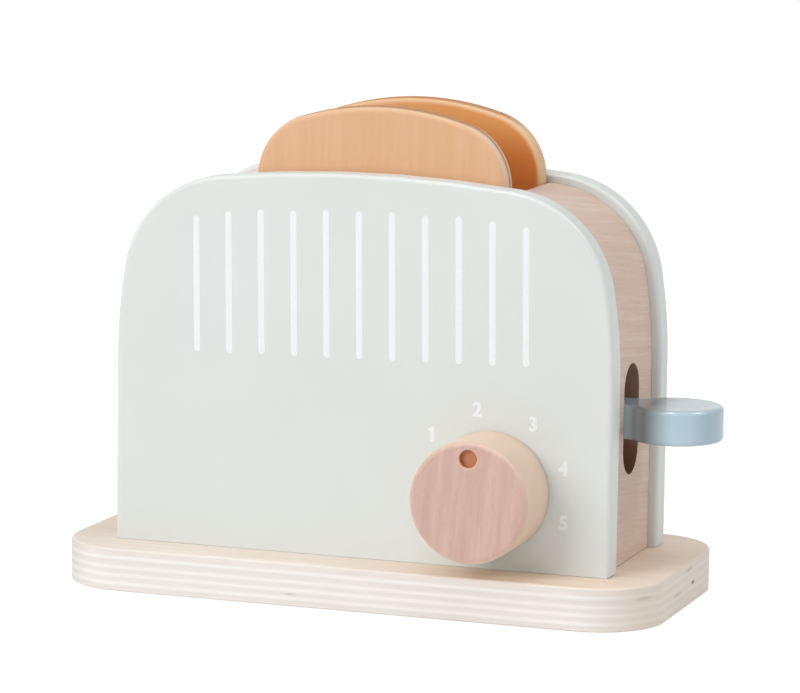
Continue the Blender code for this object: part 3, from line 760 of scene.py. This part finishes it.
def dress_copies(beech, inner, ply, enamel, steel):
    """The pieces whose CAD shape is right, smoothed and given their finish."""
    for node, name, body, material, slot in (
        ("base_board", "base_board_plywood", "housing", ply, "birch_plywood"),
        ("left_cheek", "left_cheek_beech", "housing", beech, "beech"),
        ("right_cheek", "right_cheek_beech", "housing", beech, "beech"),
        ("slot_divider", "slot_divider_beech", "housing", inner, "beech"),
        ("lever_rest_block", "lever_rest_block_beech", "housing", inner, "beech"),
        ("bread_lifter", "bread_lifter_beech", "lifter", inner, "beech"),
        ("lift_lever", "lift_lever_painted", "lever", enamel, "pale_blue_paint"),
    ):
        finish_piece(copy_of(node), name, body, material, slot, node)
    # Every other piece keeps its CAD shape: steel for the screws and the pin, beech for the rest
    for name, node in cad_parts.items():
        metal = "screw" in name or name == "lever_pivot_pin"
        node.data.materials.clear()
        node.data.materials.append(steel if metal else inner)


# The photograph's viewpoint, with its roll in radians
view_azimuth = math.radians(19.281)
view_elevation = math.radians(8.546)
view_roll = 0.0145
view_target = Vector((3.10, 0.0, 103.46)) * mm
view_distance = 1781.63 * mm
lens_mm = 187.09
sensor_mm = 36.0
sight_metres = 100.0

# Studio light: each lamp's name, azimuth and elevation in degrees, distance and size in metres, and watts.
# The cards light no surface and only show as the two glints on the lever's rim
lamps = [
    ("key_window", -32.0, 28.0, 4.0, 2.4, 72.0),
    ("side_window", 95.0, 45.0, 4.0, 1.0, 23.5),
    ("top_window", -10.0, 78.0, 4.0, 2.5, 22.0),
]
cards = [
    ("left_card", -13.0, 68.0, 3.0, 0.70, 66.0),
    ("right_card", 89.0, 55.0, 3.0, 0.70, 46.0),
]
air_light = 0.485
paper_glow = 0.88
paper_shade = 0.26
floor_gap = 0.2 * mm
floor_metres = 6.0


def set_camera():
    """The camera at the photograph's viewpoint, rolled by under a degree."""
    back = Vector((
        math.sin(view_azimuth) * math.cos(view_elevation),
        -math.cos(view_azimuth) * math.cos(view_elevation),
        math.sin(view_elevation),
    ))
    right = (-back).cross(Vector((0, 0, 1))).normalized()
    up = right.cross(-back)
    rolled_right = math.cos(view_roll) * right + math.sin(view_roll) * up
    rolled_up = -math.sin(view_roll) * right + math.cos(view_roll) * up
    turn = Matrix((rolled_right, rolled_up, back)).transposed().to_4x4()
    data = bpy.data.cameras.new("camera")
    data.lens = lens_mm
    data.sensor_width = sensor_mm
    data.clip_end = sight_metres
    camera = bpy.data.objects.new("camera", data)
    bpy.context.scene.collection.objects.link(camera)
    camera.matrix_world = Matrix.Translation(view_target + view_distance * back) @ turn
    bpy.context.scene.camera = camera


def add_lamp(name, azimuth, elevation, distance, size, watts, lights=True):
    """A square soft lamp that looks at the toaster. One that doesn't light still shows as a glint."""
    az, el = math.radians(azimuth), math.radians(elevation)
    away = Vector((math.sin(az) * math.cos(el), -math.cos(az) * math.cos(el), math.sin(el)))
    data = bpy.data.lights.new(name, "AREA")
    data.size = size
    data.energy = watts
    lamp = bpy.data.objects.new(name, data)
    bpy.context.scene.collection.objects.link(lamp)
    lamp.visible_diffuse = lights
    turn = away.to_track_quat("Z", "Y").to_matrix().to_4x4()
    lamp.matrix_world = Matrix.Translation(view_target + away * distance) @ turn


def seen_or_mirrored(tree):
    """1 for what the camera sees itself or in a glossy face, 0 for what only gives light."""
    seen = add_node(tree, "LightPath", out="Is Camera Ray")
    mirrored = add_node(tree, "LightPath", out="Is Glossy Ray")
    return add_node(tree, "Math", {0: seen, 1: mirrored}, operation="MAXIMUM")


def set_stage():
    """A white studio: pale paper that keeps a faint shadow, white surroundings and soft lamps."""
    bm = bmesh.new()
    bmesh.ops.create_grid(bm, x_segments=1, y_segments=1, size=floor_metres)
    mesh = bpy.data.meshes.new("studio_floor")
    bm.to_mesh(mesh)
    bm.free()
    floor = bpy.data.objects.new("studio_floor", mesh)
    bpy.context.scene.collection.objects.link(floor)
    floor.location.z = base_low.z - floor_gap
    material, tree, shader = new_finish("studio_paper")[:3]
    shader.inputs["Base Color"].default_value = linear("f2f2f2")
    shader.inputs["Roughness"].default_value = 0.9
    shader.inputs["Specular IOR Level"].default_value = 0.0
    own = add_node(tree, "Emission", {"Strength": paper_glow})
    shade = add_node(tree, "BsdfDiffuse", {"Color": (paper_shade, paper_shade, paper_shade, 1.0)})
    lit = add_node(tree, "AddShader", {0: own, 1: shade})
    seen = seen_or_mirrored(tree)
    pick = add_node(tree, "MixShader", {0: seen, 1: shader.outputs[0], 2: lit})
    tree.links.new(pick, tree.nodes["Material Output"].inputs["Surface"])
    mesh.materials.append(material)

    world = bpy.data.worlds.new("studio_air")
    bpy.context.scene.world = world
    world.use_nodes = True
    tree = world.node_tree
    background = tree.nodes["Background"]
    level = add_node(tree, "MapRange", {"Value": seen_or_mirrored(tree), "To Min": air_light})
    tree.links.new(level, background.inputs["Strength"])
    background.inputs["Color"].default_value = (1.0, 1.0, 1.0, 1.0)

    for lamp in lamps:
        add_lamp(*lamp)
    for card in cards:
        add_lamp(*card, lights=False)
    bpy.context.scene.view_settings.view_transform = "Standard"


build_panels(panel_paint())
build_slices()
build_knob(beech_knob())
ink = white_ink()
build_stripes(ink)
build_numbers(ink)
dress_copies(beech_cheeks(), beech_inner(), birch_plywood(), lever_paint(), zinc_steel())
set_camera()
set_stage()
